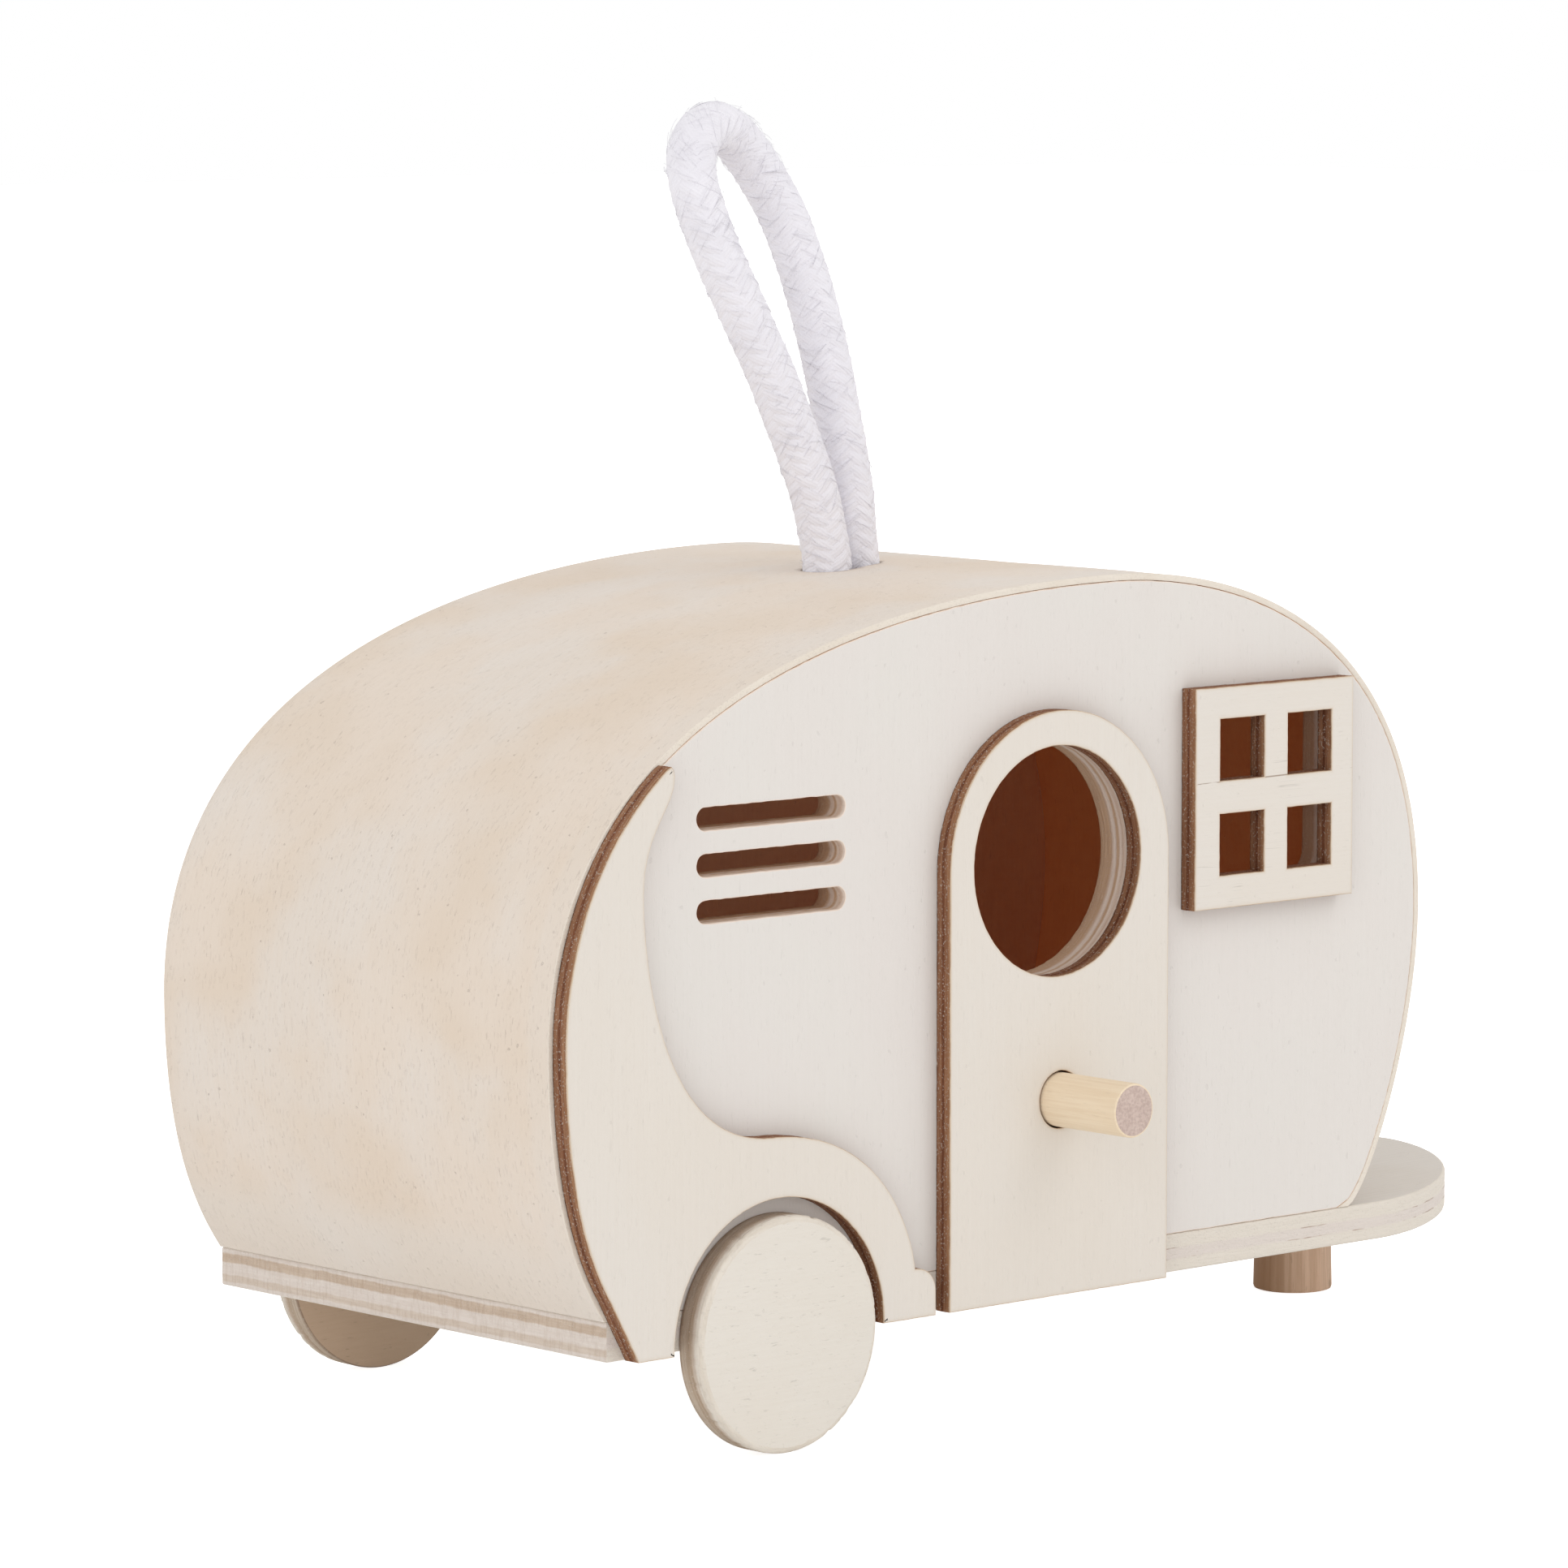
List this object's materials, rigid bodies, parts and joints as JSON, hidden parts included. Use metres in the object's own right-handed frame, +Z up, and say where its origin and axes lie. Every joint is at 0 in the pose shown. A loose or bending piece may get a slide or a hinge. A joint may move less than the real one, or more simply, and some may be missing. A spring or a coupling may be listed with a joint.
{
  "type": "birdhouse",
  "caption": "Wooden nest box shaped like a small teardrop camper trailer, with a round entrance hole, perch, window frame, disc wheels and a rope loop to hang it by.",
  "frame": {"origin": "on the floor that the two wheels and the peg stand on, under the middle of the object without its rope", "axes": "+X towards the tip of the tongue, -Y towards the side with the entrance hole, +Z up"},
  "size_m": [0.2164, 0.1098, 0.1908],
  "materials": {
    "base_ply": "bare sanded birch plywood",
    "side_ply": "bare sanded birch plywood",
    "roof_ply": "bare thin bent plywood",
    "trim_ply": "bare laser-cut birch plywood with burnt edges",
    "dowel_wood": "bare softwood dowel",
    "peg_wood": "bare hardwood",
    "wheel_ply": "bare birch plywood",
    "cotton_rope": "braided cotton"
  },
  "bodies": {
    "root": {"base_board": "base_ply", "door_side_panel": "side_ply", "far_side_panel": "side_ply", "roof_sheet": "roof_ply", "door_side_fender": "trim_ply", "door_overlay": "trim_ply", "window_frame": "trim_ply", "perch_dowel": "dowel_wood", "jack_peg": "peg_wood", "door_side_wheel": "wheel_ply", "far_side_wheel": "wheel_ply", "rope_loop": "cotton_rope", "rope_knot": "cotton_rope"}
  },
  "joints": []
}
